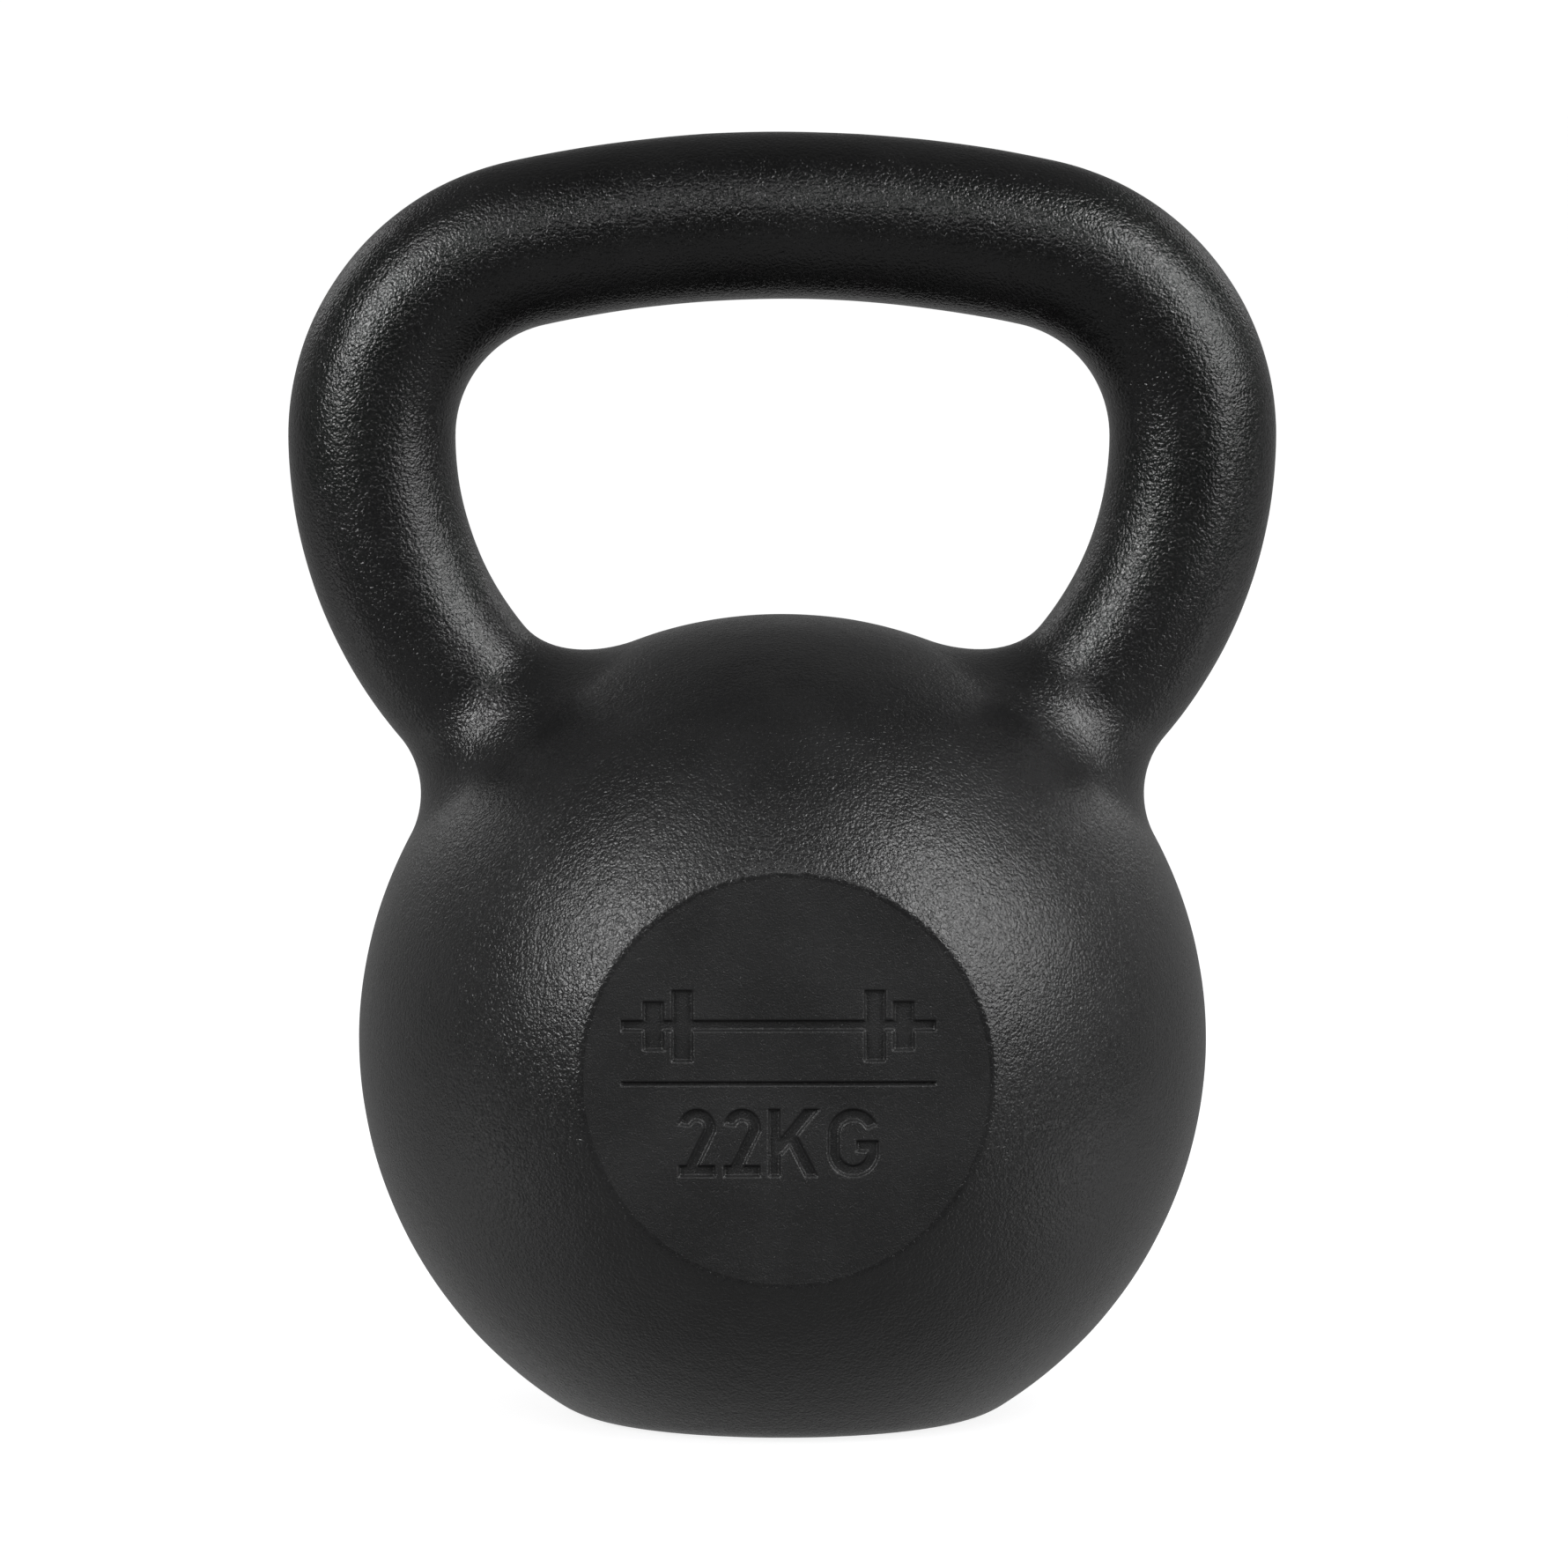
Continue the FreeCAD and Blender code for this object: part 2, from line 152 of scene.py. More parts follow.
def surface_net(distance, low, high, cell):
    """Quads over the surface where the distance is zero: a point in each cell that it crosses."""
    ticks = [np.arange(a, b + cell, cell) for a, b in zip(low, high)]
    inside = distance(*np.meshgrid(*ticks, indexing="ij", sparse=True)) < 0
    corners = sum(
        inside[i : i - 1 or None, j : j - 1 or None, k : k - 1 or None].astype(np.int8)
        for i in (0, 1)
        for j in (0, 1)
        for k in (0, 1)
    )
    crossed = (corners > 0) & (corners < 8)
    number = np.full(crossed.shape, -1)
    number[crossed] = np.arange(crossed.sum())
    points = (np.argwhere(crossed) + 0.5) * cell + np.array([t[0] for t in ticks])
    quads = []
    for axis in range(3):
        flags = np.moveaxis(inside, axis, 0)
        cells = np.moveaxis(number, axis, 0)
        change = flags[:-1, 1:-1, 1:-1] != flags[1:, 1:-1, 1:-1]
        i, j, k = np.argwhere(change).T
        around = [cells[i, j, k], cells[i, j + 1, k], cells[i, j + 1, k + 1], cells[i, j, k + 1]]
        quad = np.stack(around, axis=1)
        outward = flags[i, j + 1, k + 1]
        quad[~outward] = quad[~outward, ::-1]
        # Taking the middle axis first mirrors the grid, so its quads turn the other way round.
        quads.append(quad if axis != 1 else quad[:, ::-1])
    return points, np.concatenate(quads)


def relax(distance, points, quads, rounds):
    """Evens out the points along the surface."""
    pairs = np.concatenate([quads[:, [a, (a + 1) % 4]] for a in range(4)])
    pairs = np.concatenate([pairs, pairs[:, ::-1]])
    point, neighbour = pairs.T
    shares = np.bincount(point, minlength=len(points))
    for _ in range(rounds):
        sums = [np.bincount(point, points[neighbour, axis], len(points)) for axis in range(3)]
        points = settle(distance, np.stack(sums, axis=1) / shares[:, None], rounds=1)
    return points


# ---------------------------------------------------------------- the flat faces

# The ball's mesh ends this far short of a flat face's plane.
FACET_MARGIN = 0.0012
# The crease is rounded over this distance on each side, in this many steps.
SOFTNESS = 0.0005
SOFT_STEPS = 6
# Width of the flat ring inside the rounded crease.
FLAT_LIP = 0.0006
# Points on the cut edge of the ball's mesh that are closer than this share of a cell become one.
WELD = 0.35


def halve(is_outside, low, high, rounds=40):
    """The value between low and high where is_outside turns from False to True, by halving."""
    for _ in range(rounds):
        middle = (low + high) / 2
        outside = is_outside(middle)
        low = np.where(outside, low, middle)
        high = np.where(outside, middle, high)
    return (low + high) / 2


def ball_reach(radius, angle):
    """How far in Y the ball goes at a place given by its radius and angle on a flat face."""
    x = radius * np.cos(angle)
    z = CENTRE_HEIGHT + radius * np.sin(angle)
    ceiling = np.full_like(radius, 1.1 * BALL_RADIUS)
    return halve(lambda y: ball_distance(x, y, z) > 0, np.zeros_like(radius), ceiling)


def crease_radius(angle):
    """Radius of the sharp edge where the plane of a flat face would meet the ball."""

    def outside(radius):
        x = radius * np.cos(angle)
        return ball_distance(x, FACET, CENTRE_HEIGHT + radius * np.sin(angle)) > 0

    return halve(outside, np.zeros_like(angle), np.full_like(angle, BALL_RADIUS))


def soft_edge(angle):
    """Rings, as (radius, reach) pairs, that round the crease from the ball on to the flat face."""
    crease = crease_radius(angle)
    outer = crease + SOFTNESS
    inner = crease - SOFTNESS
    start = ball_reach(outer, angle)
    rings = []
    for step in range(SOFT_STEPS + 1):
        t = step / SOFT_STEPS
        radius = (1 - t) ** 2 * outer + 2 * t * (1 - t) * crease + t**2 * inner
        reach = (1 - t) ** 2 * start + 2 * t * (1 - t) * FACET + t**2 * FACET
        rings.append((radius, reach))
    rings.append((inner - FLAT_LIP, np.full_like(inner, FACET)))
    return rings


def open_facet(mesh, side):
    """Cuts the ball off just outside a flat face and returns the open edge's points in order."""
    plane = Vector((0, side * (FACET - FACET_MARGIN), 0))
    everything = mesh.verts[:] + mesh.edges[:] + mesh.faces[:]
    bmesh.ops.bisect_plane(
        mesh, geom=everything, plane_co=plane, plane_no=Vector((0, side, 0)), clear_outer=True
    )
    edge = [v for v in mesh.verts if v.is_boundary and abs(v.co.y - plane.y) < TINY]
    bmesh.ops.remove_doubles(mesh, verts=edge, dist=WELD * CELL)
    edge = [v for v in edge if v.is_valid]
    return sorted(edge, key=lambda v: math.atan2(v.co.z - CENTRE_HEIGHT, v.co.x))


def round_crease(mesh, edge, side):
    """Adds the rounded edge of a flat face, and returns its innermost ring of points."""
    angle = np.array([math.atan2(v.co.z - CENTRE_HEIGHT, v.co.x) for v in edge])
    before = edge
    for radius, reach in soft_edge(angle):
        x = radius * np.cos(angle)
        z = CENTRE_HEIGHT + radius * np.sin(angle)
        ring = [mesh.verts.new(point) for point in zip(x, side * reach, z)]
        join_rings(mesh, before, ring, side)
        before = ring
    return before


def join_rings(mesh, outer, inner, side):
    """Quads between two closed rings with the same number of points."""
    for i in range(len(outer)):
        quad = [outer[i - 1], outer[i], inner[i], inner[i - 1]]
        mesh.faces.new(quad[::-side])


def lattice(low, high, cell):
    """Points of a square lattice over a rectangle."""
    columns = np.linspace(low[0], high[0], round((high[0] - low[0]) / cell) + 1)
    rows = np.linspace(low[1], high[1], round((high[1] - low[1]) / cell) + 1)
    return np.stack(np.meshgrid(columns, rows, indexing="ij"), axis=2).reshape(-1, 2)


def within(points, ring, margin):
    """Points that lie inside a ring about the origin by more than a margin."""
    ring_angle = np.arctan2(ring[:, 1], ring[:, 0])
    ring_radius = np.hypot(ring[:, 0], ring[:, 1])
    angle = np.arctan2(points[:, 1], points[:, 0])
    limit = np.interp(angle, ring_angle, ring_radius, period=2 * math.pi)
    return points[np.hypot(points[:, 0], points[:, 1]) < limit - margin]


def triangulate(ring, points):
    """Triangles that fill a ring and use the points inside it. Works in millimetres."""
    together = np.concatenate([ring, points]) * 1000
    count = len(ring)
    edges = [(i, (i + 1) % count) for i in range(count)]
    places, _, triangles, *_ = delaunay_2d_cdt([Vector(p) for p in together], edges, [], 1, 1e-7)
    return np.array([tuple(p) for p in places]) / 1000, [tuple(t) for t in triangles]


# ---------------------------------------------------------------- the sunk marks

# Places are x across the marks and z up from the face's middle, as in the CAD model.
MARKS_SHIFT = -0.0016
MARK_DEPTH = 0.0010
# A mark's wall slopes from just outside its outline to just inside it.
WALL_TOP = 0.00008
WALL_FOOT = -0.00040
# Length, width and height above the face's middle
RULE = (0.0636, 0.0009, -0.0007)
BARBELL_LENGTH, BARBELL_RISE, BARBELL_BAR = 0.0636, 0.0110, 0.0024
PLATE_WIDTH, PLATE_GAP = 0.0044, 0.0014
PLATE_HEIGHTS = (0.0100, 0.0146)
LETTER_HEIGHT, LETTER_STROKE, LETTER_FOOT = 0.0139, 0.0025, -0.0197
DIGIT_WIDTH, LETTER_WIDTH, LETTER_GAP = 0.0076, 0.0104, 0.0015
# Strokes run this far into each other, so that no wall is left between them.
OVERLAP = 0.0007


def convex_shape(corners):
    """Signed distance to a convex outline whose corners go round anticlockwise."""

    def distance(x, z):
        sides = []
        for (x1, z1), (x2, z2) in zip(corners, corners[1:] + corners[:1]):
            length = math.hypot(x2 - x1, z2 - z1)
            sides.append(((z2 - z1) * (x - x1) - (x2 - x1) * (z - z1)) / length)
        return np.max(sides, axis=0)

    return distance


def bar(x1, z1, x2, z2, width):
    """A straight stroke with square ends."""
    length = math.hypot(x2 - x1, z2 - z1)
    across = (width / 2 * (z2 - z1) / length, -width / 2 * (x2 - x1) / length)
    ends = [(x1, z1, 1), (x2, z2, 1), (x2, z2, -1), (x1, z1, -1)]
    return convex_shape([(x + s * across[0], z + s * across[1]) for x, z, s in ends])


def slant(x1, z1, x2, z2, width):
    """A sloping stroke from (x1, z1) up to (x2, z2), cut level at both ends."""
    half = width / 2 * math.hypot(1, (x2 - x1) / (z2 - z1))
    return convex_shape([(x1 - half, z1), (x1 + half, z1), (x2 + half, z2), (x2 - half, z2)])


def bow(x0, z0, radius, start, end, width):
    """A round stroke about (x0, z0), anticlockwise between two angles in degrees."""
    middle = math.radians(start + end) / 2
    half = math.radians(end - start) / 2 + OVERLAP / radius

    def distance(x, z):
        turn = np.arctan2(z - z0, x - x0) - middle
        turn = np.abs((turn + math.pi) % (2 * math.pi) - math.pi)
        off_line = np.abs(np.hypot(x - x0, z - z0) - radius) - width / 2
        return np.maximum(off_line, radius * (turn - half))

    return distance


def digit_two(left):
    """A round top, a diagonal that leaves it at a tangent, and a level foot."""
    tip = 157
    radius = (DIGIT_WIDTH - LETTER_STROKE) / 2
    x = left + DIGIT_WIDTH / 2
    z = LETTER_FOOT + LETTER_HEIGHT - LETTER_STROKE / 2 - radius
    heel = left + 0.7 * LETTER_STROKE
    reach = math.hypot(x - heel, z - LETTER_FOOT)
    climb = math.atan2(z - LETTER_FOOT, x - heel) - math.asin(radius / reach)
    run = math.sqrt(reach**2 - radius**2) + OVERLAP
    leave = (heel + run * math.cos(climb), LETTER_FOOT + run * math.sin(climb))
    base = LETTER_FOOT + LETTER_STROKE / 2
    return [
        bow(x, z, radius, math.degrees(climb) - 90, tip, LETTER_STROKE),
        slant(heel, LETTER_FOOT, *leave, LETTER_STROKE),
        bar(left, base, left + DIGIT_WIDTH, base, LETTER_STROKE),
    ]


def letter_k(left):
    """An upright, an arm that rises from it and a leg that leaves the arm."""
    stem = left + LETTER_STROKE / 2
    toe = left + LETTER_WIDTH - 0.65 * LETTER_STROKE
    top = LETTER_FOOT + LETTER_HEIGHT
    fork = LETTER_FOOT + 0.33 * LETTER_HEIGHT
    knee = (left + 0.42 * LETTER_WIDTH, LETTER_FOOT + 0.62 * LETTER_HEIGHT)
    return [
        bar(stem, LETTER_FOOT, stem, top, LETTER_STROKE),
        slant(stem, fork, toe, top, LETTER_STROKE),
        slant(toe, LETTER_FOOT, *knee, LETTER_STROKE),
    ]


def letter_g(left):
    """A tall round letter, open on the right above a level crossbar."""
    tip = 31
    radius = (LETTER_WIDTH - LETTER_STROKE) / 2
    x = left + LETTER_WIDTH / 2
    low = LETTER_FOOT + LETTER_STROKE / 2 + radius
    high = LETTER_FOOT + LETTER_HEIGHT - LETTER_STROKE / 2 - radius
    crossbar = LETTER_FOOT + 0.45 * LETTER_HEIGHT
    bar_start = x + 0.05 * LETTER_WIDTH
    return [
        bow(x, high, radius, tip, 180, LETTER_STROKE),
        bow(x, low, radius, 180, 360, LETTER_STROKE),
        bar(x - radius, low - OVERLAP, x - radius, high + OVERLAP, LETTER_STROKE),
        bar(x + radius, low - OVERLAP, x + radius, crossbar + LETTER_STROKE / 2, LETTER_STROKE),
        bar(bar_start, crossbar, x + LETTER_WIDTH / 2, crossbar, LETTER_STROKE),
    ]


def weight_mark():
    """The weight, 22 KG, below the rule."""
    left = -(2 * DIGIT_WIDTH + 2 * LETTER_WIDTH + 3 * LETTER_GAP) / 2
    letters = left + 2 * (DIGIT_WIDTH + LETTER_GAP)
    strokes = digit_two(left) + digit_two(left + DIGIT_WIDTH + LETTER_GAP)
    return strokes + letter_k(letters) + letter_g(letters + LETTER_WIDTH + LETTER_GAP)


def barbell_mark():
    """A plain barbell above the rule, with a small and a large plate at each end."""
    half = BARBELL_LENGTH / 2
    strokes = [bar(-half, BARBELL_RISE, half, BARBELL_RISE, BARBELL_BAR)]
    small = half - 1.5 * PLATE_WIDTH
    large = small - PLATE_WIDTH - PLATE_GAP
    for x, height in zip((small, large), PLATE_HEIGHTS):
        low, high = BARBELL_RISE - height / 2, BARBELL_RISE + height / 2
        strokes += [bar(side * x, low, side * x, high, PLATE_WIDTH) for side in (-1, 1)]
    return strokes


def marks():
    """Signed distance to everything sunk into the front face, with x from the face's middle."""
    length, width, height = RULE
    strokes = [bar(-length / 2, height, length / 2, height, width)]
    strokes += barbell_mark() + weight_mark()
    return lambda x, z: np.min([stroke(x - MARKS_SHIFT, z) for stroke in strokes], axis=0)


# ---------------------------------------------------------------- the coat's meshes

# The height of the lumps, and their sizes, each with its share of that height
LUMP = 0.00009
LUMP_SIZES = ((0.030, 1.0), (0.011, 0.45))
# The lumps fade out over these distances from the planes of the flat faces and of the base.
FACET_FADE = 0.006
BASE_FADE = 0.008
# Shares of a cell within which a point is drawn on to an edge that it is near.
FOOT_SNAP = 0.6
MARK_SNAP = 0.45
# The fine lattice goes this far past the marks. The coarse one covers a square of this half width.
MARKS_MARGIN = 0.001
FACE_REACH = 0.045


def uneven(points):
    """Moves points in and out by the slight lumps of a sand casting.

    The base and the flat faces stay true.
    """
    outward = gradient(casting_distance, points)
    fade = np.clip((FACET - np.abs(points[:, 1])) / FACET_FADE, 0, 1)
    fade *= np.clip(points[:, 2] / BASE_FADE, 0, 1)
    height = np.zeros(len(points))
    for size, share in LUMP_SIZES:
        height += share * np.array([noise.noise(Vector(p) / size) for p in points.tolist()])
    return points + (LUMP * fade * height)[:, None] * outward


def fit_round_foot(points):
    """Opens the flat base over the iron foot: the coat's edge lies on the foot's circle."""
    radius = np.hypot(points[:, 0], points[:, 1])
    flat = points[:, 2] < 10 * TINY
    on_edge = flat & (np.abs(radius - FOOT_RADIUS) < FOOT_SNAP * CELL)
    points[on_edge, :2] *= (FOOT_RADIUS / radius[on_edge])[:, None]
    points[flat & ~on_edge & (radius < FOOT_RADIUS), 2] = COAT
    return points


def add_object(name, mesh):
    """A smooth-shaded object in the scene."""
    for polygon in mesh.polygons:
        polygon.use_smooth = True
    piece = bpy.data.objects.new(name, mesh)
    bpy.context.scene.collection.objects.link(piece)
    return piece


def coat_body():
    """The coat over ball and handle, open where the two flat faces go, and their edge rings."""
    reach = np.array([coat_high.x, BALL_RADIUS, 0.0])
    low = -reach - 2 * CELL
    high = reach + np.array([0, 0, coat_high.z]) + 2 * CELL
    points, quads = surface_net(casting_distance, low, high, CELL)
    points = relax(casting_distance, settle(casting_distance, points), quads, rounds=5)
    points = fit_round_foot(points)
    mesh = bmesh.new()
    for point in points.tolist():
        mesh.verts.new(point)
    mesh.verts.ensure_lookup_table()
    for quad in quads.tolist():
        mesh.faces.new([mesh.verts[i] for i in quad])
    rings = {}
    for side in (-1, 1):
        edge = open_facet(mesh, side)
        inner = round_crease(mesh, edge, side)
        rings[side] = np.array([(v.co.x, v.co.z - CENTRE_HEIGHT) for v in inner])
    places = np.array([tuple(v.co) for v in mesh.verts])
    for vertex, place in zip(mesh.verts, uneven(places).tolist()):
        vertex.co = place
    data = bpy.data.meshes.new("coat_body")
    mesh.to_mesh(data)
    mesh.free()
    return add_object("coat_body", data), rings


def snap(places, distance, level):
    """Draws lattice points that are close to a wall's edge on to it, so that the edge is clean."""
    away = distance(*places.T) - level
    slope_x = (distance(places[:, 0] + TINY, places[:, 1]) - level - away) / TINY
    slope_z = (distance(places[:, 0], places[:, 1] + TINY) - level - away) / TINY
    close = np.abs(away) < MARK_SNAP * FACE_CELL
    shift = np.stack([slope_x, slope_z], axis=1) * away[:, None]
    return np.where(close[:, None], places - shift, places)


def coarse_points(ring):
    """Points of a coarse lattice inside the rim of a flat face."""
    corner = np.array([FACE_REACH, FACE_REACH])
    return within(lattice(-corner, corner, PLAIN_CELL), ring, PLAIN_CELL / 2)


def marked_face(ring):
    """The front face, with the marks sunk into it by sloping walls."""
    distance = marks()
    half = max(RULE[0], BARBELL_LENGTH) / 2 + MARKS_MARGIN
    low = (MARKS_SHIFT - half, LETTER_FOOT - MARKS_MARGIN)
    high = (MARKS_SHIFT + half, BARBELL_RISE + max(PLATE_HEIGHTS) / 2 + MARKS_MARGIN)
    fine = lattice(low, high, FACE_CELL)
    for level in (WALL_TOP, WALL_FOOT):
        fine = snap(fine, distance, level)
    coarse = coarse_points(ring)
    margin = PLAIN_CELL / 2
    beside = (coarse < np.array(low) - margin) | (coarse > np.array(high) + margin)
    coarse = coarse[np.any(beside, axis=1)]
    places, triangles = triangulate(ring, np.concatenate([fine, coarse]))
    slope = (distance(*places.T) - WALL_FOOT) / (WALL_TOP - WALL_FOOT)
    depth = MARK_DEPTH * (1 - np.clip(slope, 0, 1))
    return flat_piece("coat_front_face", places, depth, triangles, -1)


def plain_face(ring):
    """The back face, which has no marks."""
    places, triangles = triangulate(ring, coarse_points(ring))
    return flat_piece("coat_back_face", places, np.zeros(len(places)), triangles, 1)


def flat_piece(name, places, depth, triangles, side):
    """A mesh on the plane of a flat face, sunk below it by each point's depth."""
    x, z = places.T
    points = np.stack([x, side * (FACET - depth), z + CENTRE_HEIGHT], axis=1)
    data = bpy.data.meshes.new(name)
    data.from_pydata(points.tolist(), [], [t[::-side] for t in triangles])
    return add_object(name, data)


# ---------------------------------------------------------------- materials


class Nodes:
    """The node tree of a material or world, with short ways to add nodes and to feed them."""

    def __init__(self, owner):
        owner.use_nodes = True
        self.tree = owner.node_tree
        self.shader = self.tree.nodes.get("Principled BSDF")

    def feed(self, socket, value):
        """Links a socket to another node's output, or sets it to a constant."""
        if isinstance(value, bpy.types.NodeSocket):
            self.tree.links.new(value, socket)
        else:
            socket.default_value = value

    def add(self, kind, settings=None, **inputs):
        """A new node. An input's name has _ where the socket's name has a space."""
        node = self.tree.nodes.new(kind)
        for key, value in (settings or {}).items():
            setattr(node, key, value)
        for key, value in inputs.items():
            self.feed(node.inputs[key.replace("_", " ")], value)
        return node

    def place(self):
        """The place on the object in metres."""
        return self.add("ShaderNodeTexCoord").outputs["Object"]

    def parts(self, vector):
        """The X, Y and Z of a vector."""
        return self.add("ShaderNodeSeparateXYZ", Vector=vector).outputs[:]

    def noise(self, size, detail=2.0, distortion=0.0, place=None):
        """Noise from 0 to 1 whose patches are about one size across, in metres."""
        node = self.add(
            "ShaderNodeTexNoise",
            Vector=place or self.place(),
            Scale=1 / size,
            Detail=detail,
            Distortion=distortion,
        )
        return node.outputs["Fac"]

    def maths(self, operation, first, second=0.0, third=0.0):
        node = self.add("ShaderNodeMath", {"operation": operation})
        for socket, value in zip(node.inputs, (first, second, third)):
            self.feed(socket, value)
        return node.outputs[0]

    def ramp(self, value, low, high, to_low=0.0, to_high=1.0):
        """Goes smoothly from to_low to to_high while a value goes from low to high."""
        node = self.add("ShaderNodeMapRange", {"interpolation_type": "SMOOTHSTEP"}, Value=value)
        names = ("From Min", "From Max", "To Min", "To Max")
        for name, number in zip(names, (low, high, to_low, to_high)):
            self.feed(node.inputs[name], number)
        return node.outputs["Result"]

    def mix_colour(self, amount, first, second):
        node = self.add("ShaderNodeMix", {"data_type": "RGBA"})
        for index, value in ((0, amount), (6, first), (7, second)):
            self.feed(node.inputs[index], value)
        return node.outputs[2]

    def bump(self, height, depth, under=None):
        """A normal for a relief of some depth, in metres, on top of another one."""
        node = self.add("ShaderNodeBump", Height=height, Distance=depth, Strength=1.0)
        if under:
            self.feed(node.inputs["Normal"], under)
        return node.outputs["Normal"]


PORE_SPACING = 0.0065
PORE_SIZE = 0.00035
PATCH_SIZE = 0.020
# The coat's darkest and lightest patches, as shares of its colour. The ball's are lighter, as
# painted light from the floor, and the handle's much darker, as painted shade
BALL_TONES_PAINTED_LIGHT = (0.8, 1.2)
HANDLE_TONES_PAINTED_SHADE = (0.3, 0.5)


def grey(value):
    """A very slightly cool grey."""
    return (value, value, value * 1.02, 1.0)


def powder_coat(name, grain, depth, colour, roughness):
    """Matt black powder coat: an orange peel of one grain size over slight waves and a few pores.

    The coat is duller on the ball than on the handle. Its colour has painted light on the ball and
    painted shade on the handle.
    """
    material = bpy.data.materials.new(name)
    nodes = Nodes(material)
    shader = nodes.shader
    peel = nodes.noise(grain, detail=1.5, distortion=0.4)
    waves = nodes.noise(6 * grain, detail=2.0)
    patches = nodes.noise(PATCH_SIZE, detail=3.0)
    pores = nodes.add("ShaderNodeTexVoronoi", Vector=nodes.place(), Scale=1 / PORE_SPACING)
    pore = nodes.ramp(pores.outputs["Distance"], 0.01, PORE_SIZE / PORE_SPACING)
    # From 0 low on the ball to 1 on the handle: it blends the ball's painted light into the
    # handle's painted shade, and makes the handle a little glossier
    height = nodes.parts(nodes.place())[2]
    handle = nodes.ramp(height, CENTRE_HEIGHT + 0.5 * BALL_RADIUS, WIDEST_HEIGHT)
    normal = nodes.bump(waves, 0.6 * depth)
    normal = nodes.bump(pore, 0.4 * depth, under=normal)
    normal = nodes.bump(peel, depth, under=normal)
    nodes.feed(shader.inputs["Normal"], normal)
    shade = nodes.ramp(nodes.maths("MULTIPLY_ADD", peel, 0.5, patches), 0.45, 1.05)
    # Painted light and shade by height: lighter tones on the ball, much darker ones on the handle
    ball_painted_light = nodes.mix_colour(shade, *[grey(share * colour) for share in BALL_TONES_PAINTED_LIGHT])
    handle_painted_shade = nodes.mix_colour(shade, *[grey(share * colour) for share in HANDLE_TONES_PAINTED_SHADE])
    nodes.feed(shader.inputs["Base Color"], nodes.mix_colour(handle, ball_painted_light, handle_painted_shade))
    gloss = nodes.maths("MULTIPLY_ADD", patches, 0.14, nodes.maths("MULTIPLY", peel, 0.10))
    gloss = nodes.maths("MULTIPLY_ADD", handle, -0.05, gloss)
    nodes.feed(shader.inputs["Roughness"], nodes.maths("ADD", gloss, roughness - 0.12))
    return material


GRINDING_LINE = 0.00035
IRON_PATCH = 0.008


def bare_iron():
    """Ground cast iron, seen only where the round foot comes through the coat."""
    material = bpy.data.materials.new("bare_iron")
    nodes = Nodes(material)
    shader = nodes.shader
    shader.inputs["Metallic"].default_value = 0.85
    along = nodes.add("ShaderNodeMapping", Vector=nodes.place())
    along.inputs["Scale"].default_value = (0.06, 1.0, 1.0)
    lines = nodes.noise(GRINDING_LINE, detail=3.0, place=along.outputs["Vector"])
    patches = nodes.noise(IRON_PATCH, detail=4.0)
    nodes.feed(shader.inputs["Normal"], nodes.bump(lines, 0.00003))
    shade = nodes.ramp(nodes.maths("MULTIPLY_ADD", lines, 0.4, patches), 0.45, 0.95)
    nodes.feed(shader.inputs["Base Color"], nodes.mix_colour(shade, grey(0.10), grey(0.24)))
    nodes.feed(shader.inputs["Roughness"], nodes.ramp(patches, 0.3, 0.7, 0.36, 0.56))
    return material


def white_paper(name, painted_shadow_brightness, reach):
    """Bright white, a little less so close to the kettlebell: the floor's shadow there is partly
    real and partly a painted shadow in its glow.
    """
    material = bpy.data.materials.new(name)
    nodes = Nodes(material)
    shader = nodes.shader
    shader.inputs["Base Color"].default_value = grey(0.30)
    shader.inputs["Roughness"].default_value = 0.9
    shader.inputs["Specular IOR Level"].default_value = 0.0
    shader.inputs["Emission Color"].default_value = (1.0, 1.0, 1.0, 1.0)
    away = nodes.add("ShaderNodeVectorMath", {"operation": "LENGTH"}, Vector=nodes.place())
    # Painted shadow: the glow dims towards the middle, around the kettlebell's foot
    glow = nodes.ramp(away.outputs["Value"], 0.2 * reach, reach, painted_shadow_brightness, 1.0)
    nodes.feed(shader.inputs["Emission Strength"], glow)
    return material


# ---------------------------------------------------------------- the kettlebell


def wear(piece, material):
    """Gives a new piece its material, its body and the record's material slot."""
    piece.data.materials.append(material)
    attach(piece, "root")
    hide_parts("powder_coat")


def kettlebell():
    """The three pieces of the coat, and the material of the iron under it."""
    body, rings = coat_body()
    rough_coat = powder_coat("coat_orange_peel", 0.00064, 0.00025, colour=0.015, roughness=0.28)
    fine_coat = powder_coat("coat_fine_grain", 0.00034, 0.00014, colour=0.0145, roughness=0.40)
    wear(body, rough_coat)
    wear(marked_face(rings[-1]), fine_coat)
    wear(plain_face(rings[1]), fine_coat)
    iron = bare_iron()
    for name in ("bell", "horn_left", "horn_right", "grip"):
        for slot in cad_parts[name].material_slots:
            slot.material = iron


kettlebell()


# ---------------------------------------------------------------- floor, light and camera

MIDDLE = Vector((0, 0, coat_high.z / 2))
STUDIO_SIZE = 7.0
# The floor's painted shadow: its brightness by the foot, and how far out it reaches full white
FLOOR_PAINTED_SHADOW = 0.86
PAINTED_SHADOW_REACH = 4 * FOOT_RADIUS

CAMERA_LENS = 283.2
CAMERA_PLACE = Vector((-0.0266, -2.5434, 0.3681))
CAMERA_TARGET = Vector((0.0003, 0, 0.131))

# The room's glow below and above the floor's edge, in front of the kettlebell and behind it.
# Behind it, the glow drops again above the wall's edge. Each edge is a span of the Z of the
# direction, over which the glow changes.
FRONT_GLOW = (0.25, 0.0)
BACK_GLOW = (0.38, 0.27)
HIGH_DROP = -0.14
FLOOR_EDGE = (-0.5, -0.1)
WALL_EDGE = (0.1, 0.5)

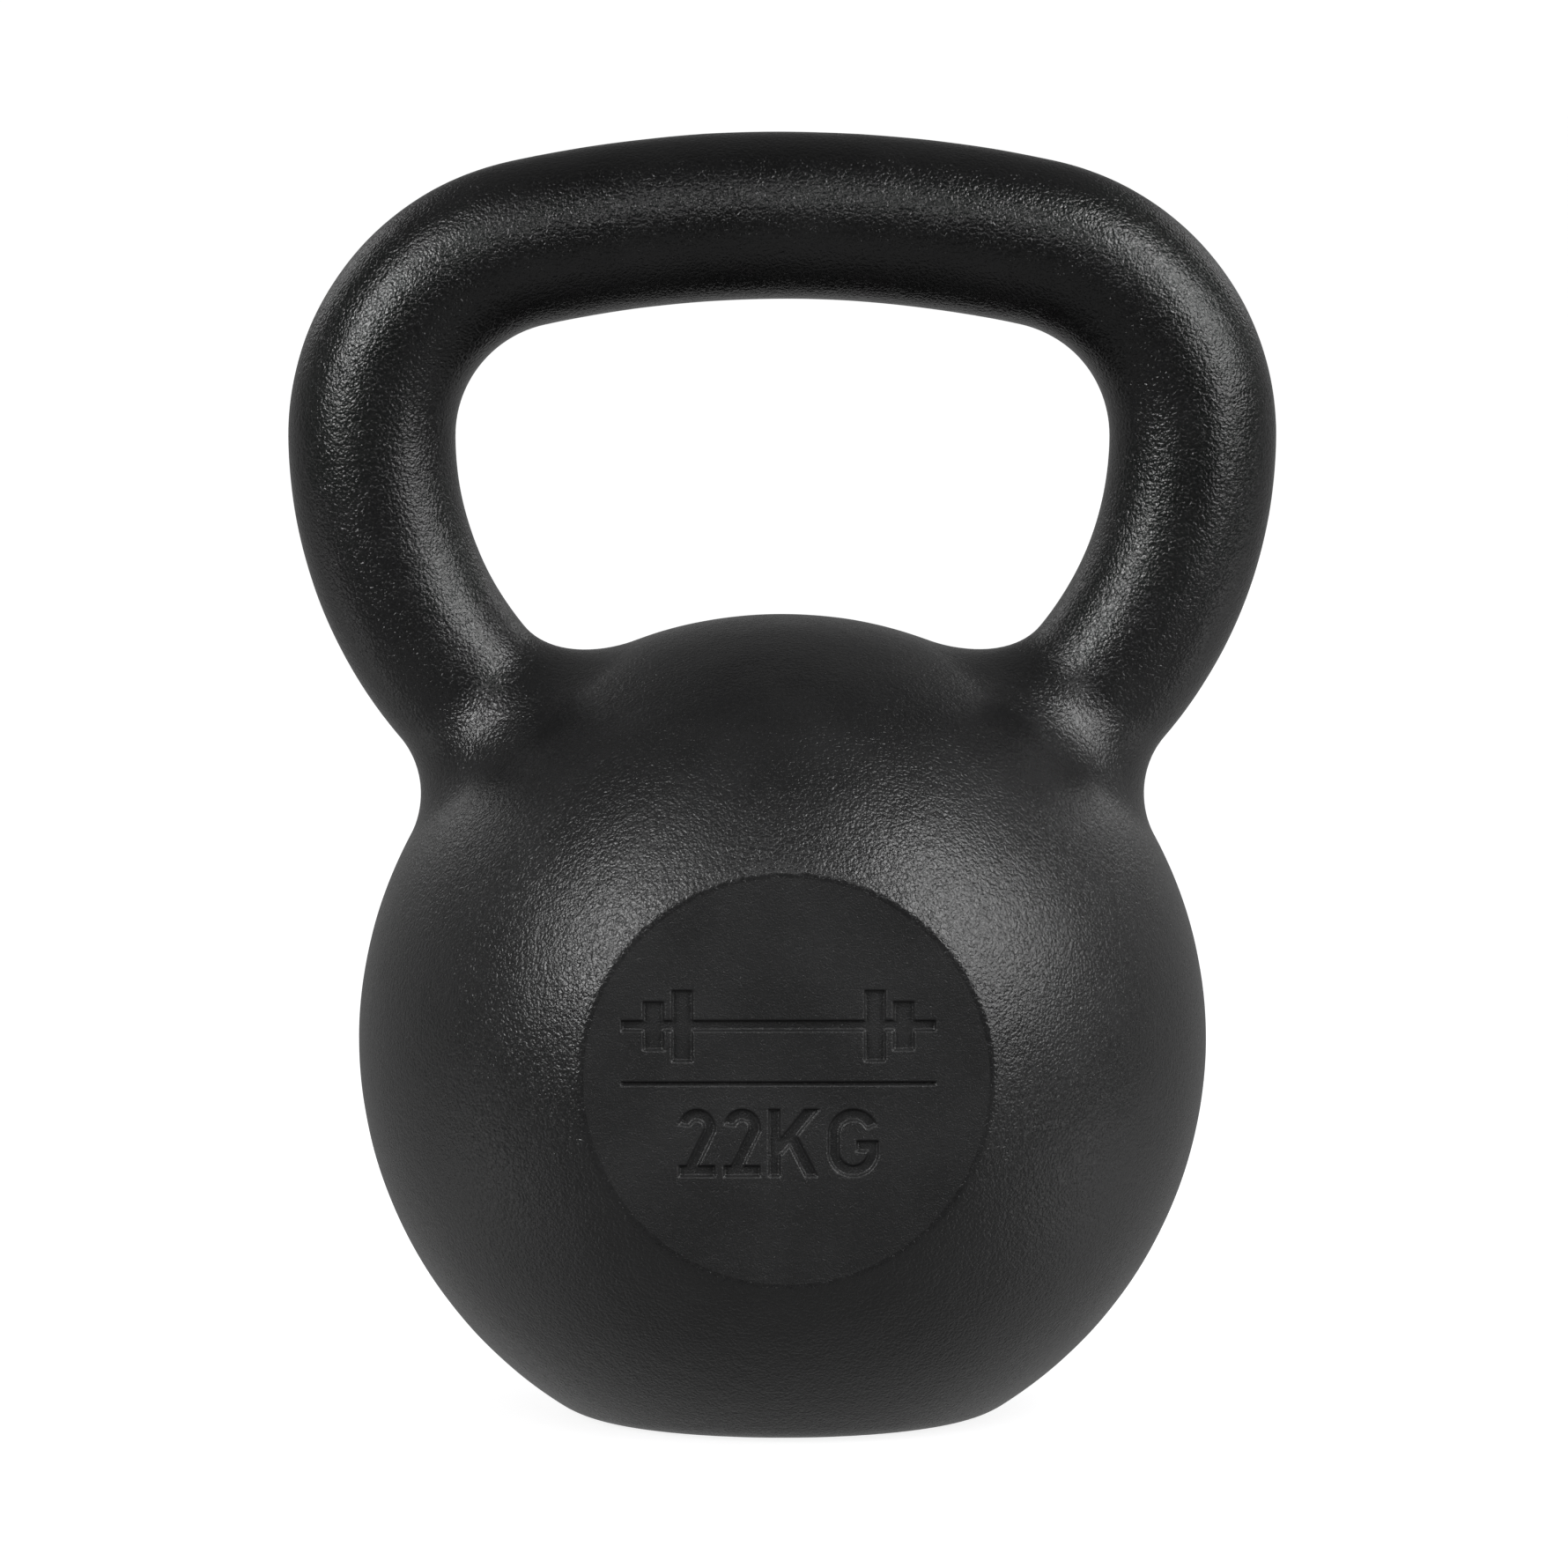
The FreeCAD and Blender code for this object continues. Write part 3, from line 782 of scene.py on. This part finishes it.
LIGHT_DISTANCE = 1.5
LIGHT_SIDE = 0.5
LIGHTS = (
    # name, azimuth, elevation, power
    ("left_softbox", -50, 22, 11.4),
    ("left_upper", -50, 42, 2.8),
    ("front_top", 0, 32, 2.3),
    ("right_softbox", 50, 22, 4.6),
    ("right_upper", 50, 42, 8.6),
    ("right_floor", 50, 5, 2.5),
    ("right_side", 75, 22, 4.3),
    ("right_low", 90, -25, 0.8),
    ("left_low", -90, -25, 0.6),
    ("back_right", 140, 25, 1.0),
    ("back_left", -140, 25, 1.0),
)


def aim(thing, target):
    """Turns a lamp or camera towards a place."""
    thing.rotation_euler = (target - thing.location).to_track_quat("-Z", "Y").to_euler()


def from_front(azimuth, elevation, distance):
    """A place given by its bearing from the front, to the right and up, in degrees."""
    turn, rise = math.radians(azimuth), math.radians(elevation)
    level = distance * math.cos(rise)
    across, out, up = level * math.sin(turn), -level * math.cos(turn), distance * math.sin(rise)
    return MIDDLE + Vector((across, out, up))


def soft_light(name, azimuth, elevation, power):
    """A square softbox that points at the kettlebell's middle."""
    light = bpy.data.lights.new(name, "AREA")
    light.shape = "SQUARE"
    light.size = LIGHT_SIDE
    light.energy = power
    lamp = bpy.data.objects.new(name, light)
    lamp.location = from_front(azimuth, elevation, LIGHT_DISTANCE)
    lamp.visible_camera = False
    bpy.context.scene.collection.objects.link(lamp)
    aim(lamp, MIDDLE)


def set_stage(name, mesh, painted_shadow_brightness):
    """A surface that only the camera sees: the lights alone decide how the kettlebell is lit."""
    surface = bpy.data.objects.new(name, mesh)
    surface.data.materials.append(white_paper(name, painted_shadow_brightness, PAINTED_SHADOW_REACH))
    surface.visible_diffuse = False
    surface.visible_glossy = False
    surface.visible_shadow = False
    bpy.context.scene.collection.objects.link(surface)


def white_studio():
    """A pale floor, and a white dome far behind everything."""
    floor = bpy.data.meshes.new("floor")
    signs = [(-1, -1), (1, -1), (1, 1), (-1, 1)]
    corners = [(x * STUDIO_SIZE, y * STUDIO_SIZE, 0) for x, y in signs]
    floor.from_pydata(corners, [], [(0, 1, 2, 3)])
    set_stage("floor", floor, FLOOR_PAINTED_SHADOW)
    dome = bmesh.new()
    bmesh.ops.create_uvsphere(dome, u_segments=48, v_segments=24, radius=STUDIO_SIZE)
    surround = bpy.data.meshes.new("surround")
    dome.to_mesh(surround)
    dome.free()
    set_stage("surround", surround, 1.0)


def studio_light():
    """The light of a white floor and a white wall behind, in a room that is dark in front."""
    world = bpy.data.worlds.new("studio_light")
    nodes = Nodes(world)
    world.cycles_visibility.camera = False
    direction = nodes.add("ShaderNodeTexCoord").outputs["Generated"]
    _, back, up = nodes.parts(direction)
    front_glow = nodes.ramp(up, *FLOOR_EDGE, *FRONT_GLOW)
    wall_glow = nodes.ramp(up, *FLOOR_EDGE, *BACK_GLOW)
    back_glow = nodes.maths("ADD", wall_glow, nodes.ramp(up, *WALL_EDGE, 0.0, HIGH_DROP))
    behind = nodes.ramp(back, -0.4, 0.4)
    more = nodes.maths("SUBTRACT", back_glow, front_glow)
    glow = nodes.maths("MULTIPLY_ADD", more, behind, front_glow)
    background = nodes.tree.nodes["Background"]
    background.inputs["Color"].default_value = (1.0, 1.0, 1.0, 1.0)
    nodes.feed(background.inputs["Strength"], glow)
    bpy.context.scene.world = world


def take_photo():
    """The camera: a long lens, in front of the kettlebell and a little above it."""
    camera = bpy.data.objects.new("camera", bpy.data.cameras.new("camera"))
    camera.data.lens = CAMERA_LENS
    camera.location = CAMERA_PLACE
    aim(camera, CAMERA_TARGET)
    bpy.context.scene.collection.objects.link(camera)
    bpy.context.scene.camera = camera
    bpy.context.scene.view_settings.view_transform = "Standard"


white_studio()
studio_light()
for settings in LIGHTS:
    soft_light(*settings)
take_photo()
